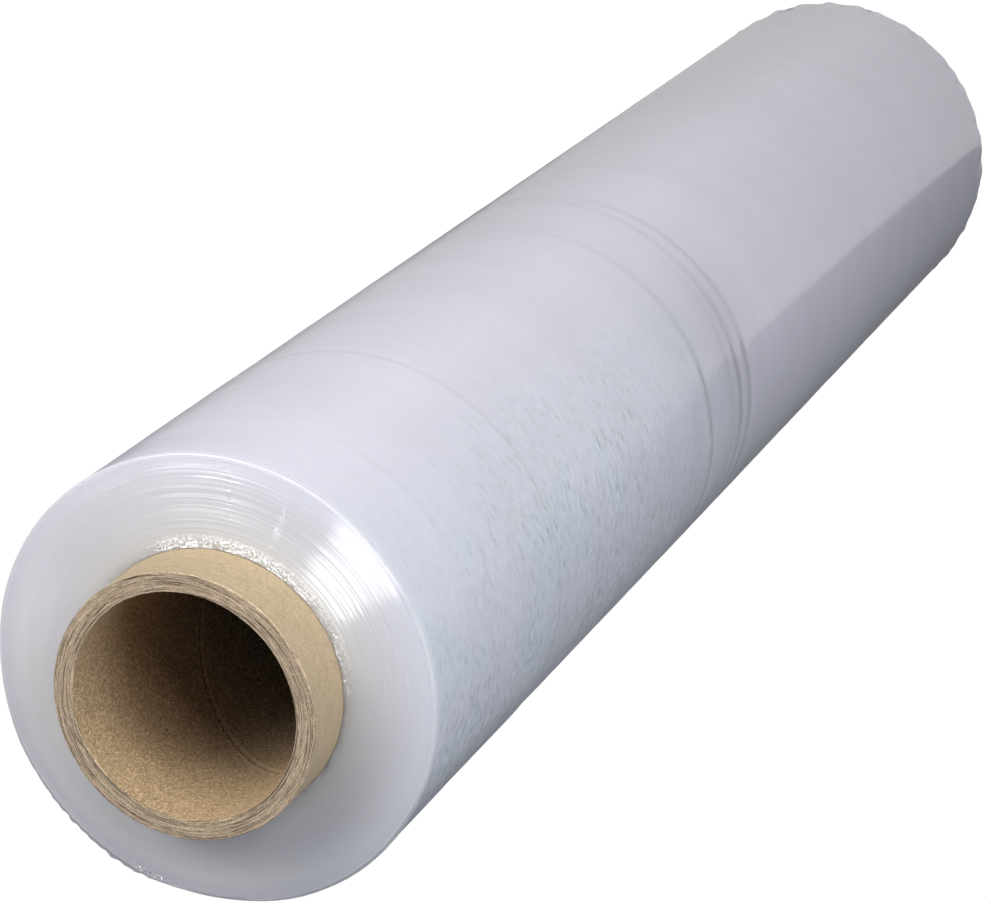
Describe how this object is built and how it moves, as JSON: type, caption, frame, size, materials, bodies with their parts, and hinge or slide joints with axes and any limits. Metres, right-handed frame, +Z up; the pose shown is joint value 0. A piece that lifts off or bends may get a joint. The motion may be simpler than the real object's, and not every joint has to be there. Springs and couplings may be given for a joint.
{
  "type": "stretch wrap roll",
  "caption": "Roll of clear stretch film wound on a spiral-wound cardboard core whose ends stand out past the film, for wrapping loads by hand or on a spindle.",
  "frame": {"origin": "centre of the core's lower end, on the surface that the roll stands on", "axes": "+Z up along the core's axis, from the lower core end to the upper one; the roll is round about +Z, so X and Y may point any way across it"},
  "size_m": [0.101, 0.1008, 0.53],
  "materials": {
    "kraft_board": "matte",
    "stretch_film": "satin"
  },
  "bodies": {
    "root": {"core_tube": "kraft_board", "film_winding": "stretch_film"}
  },
  "joints": []
}
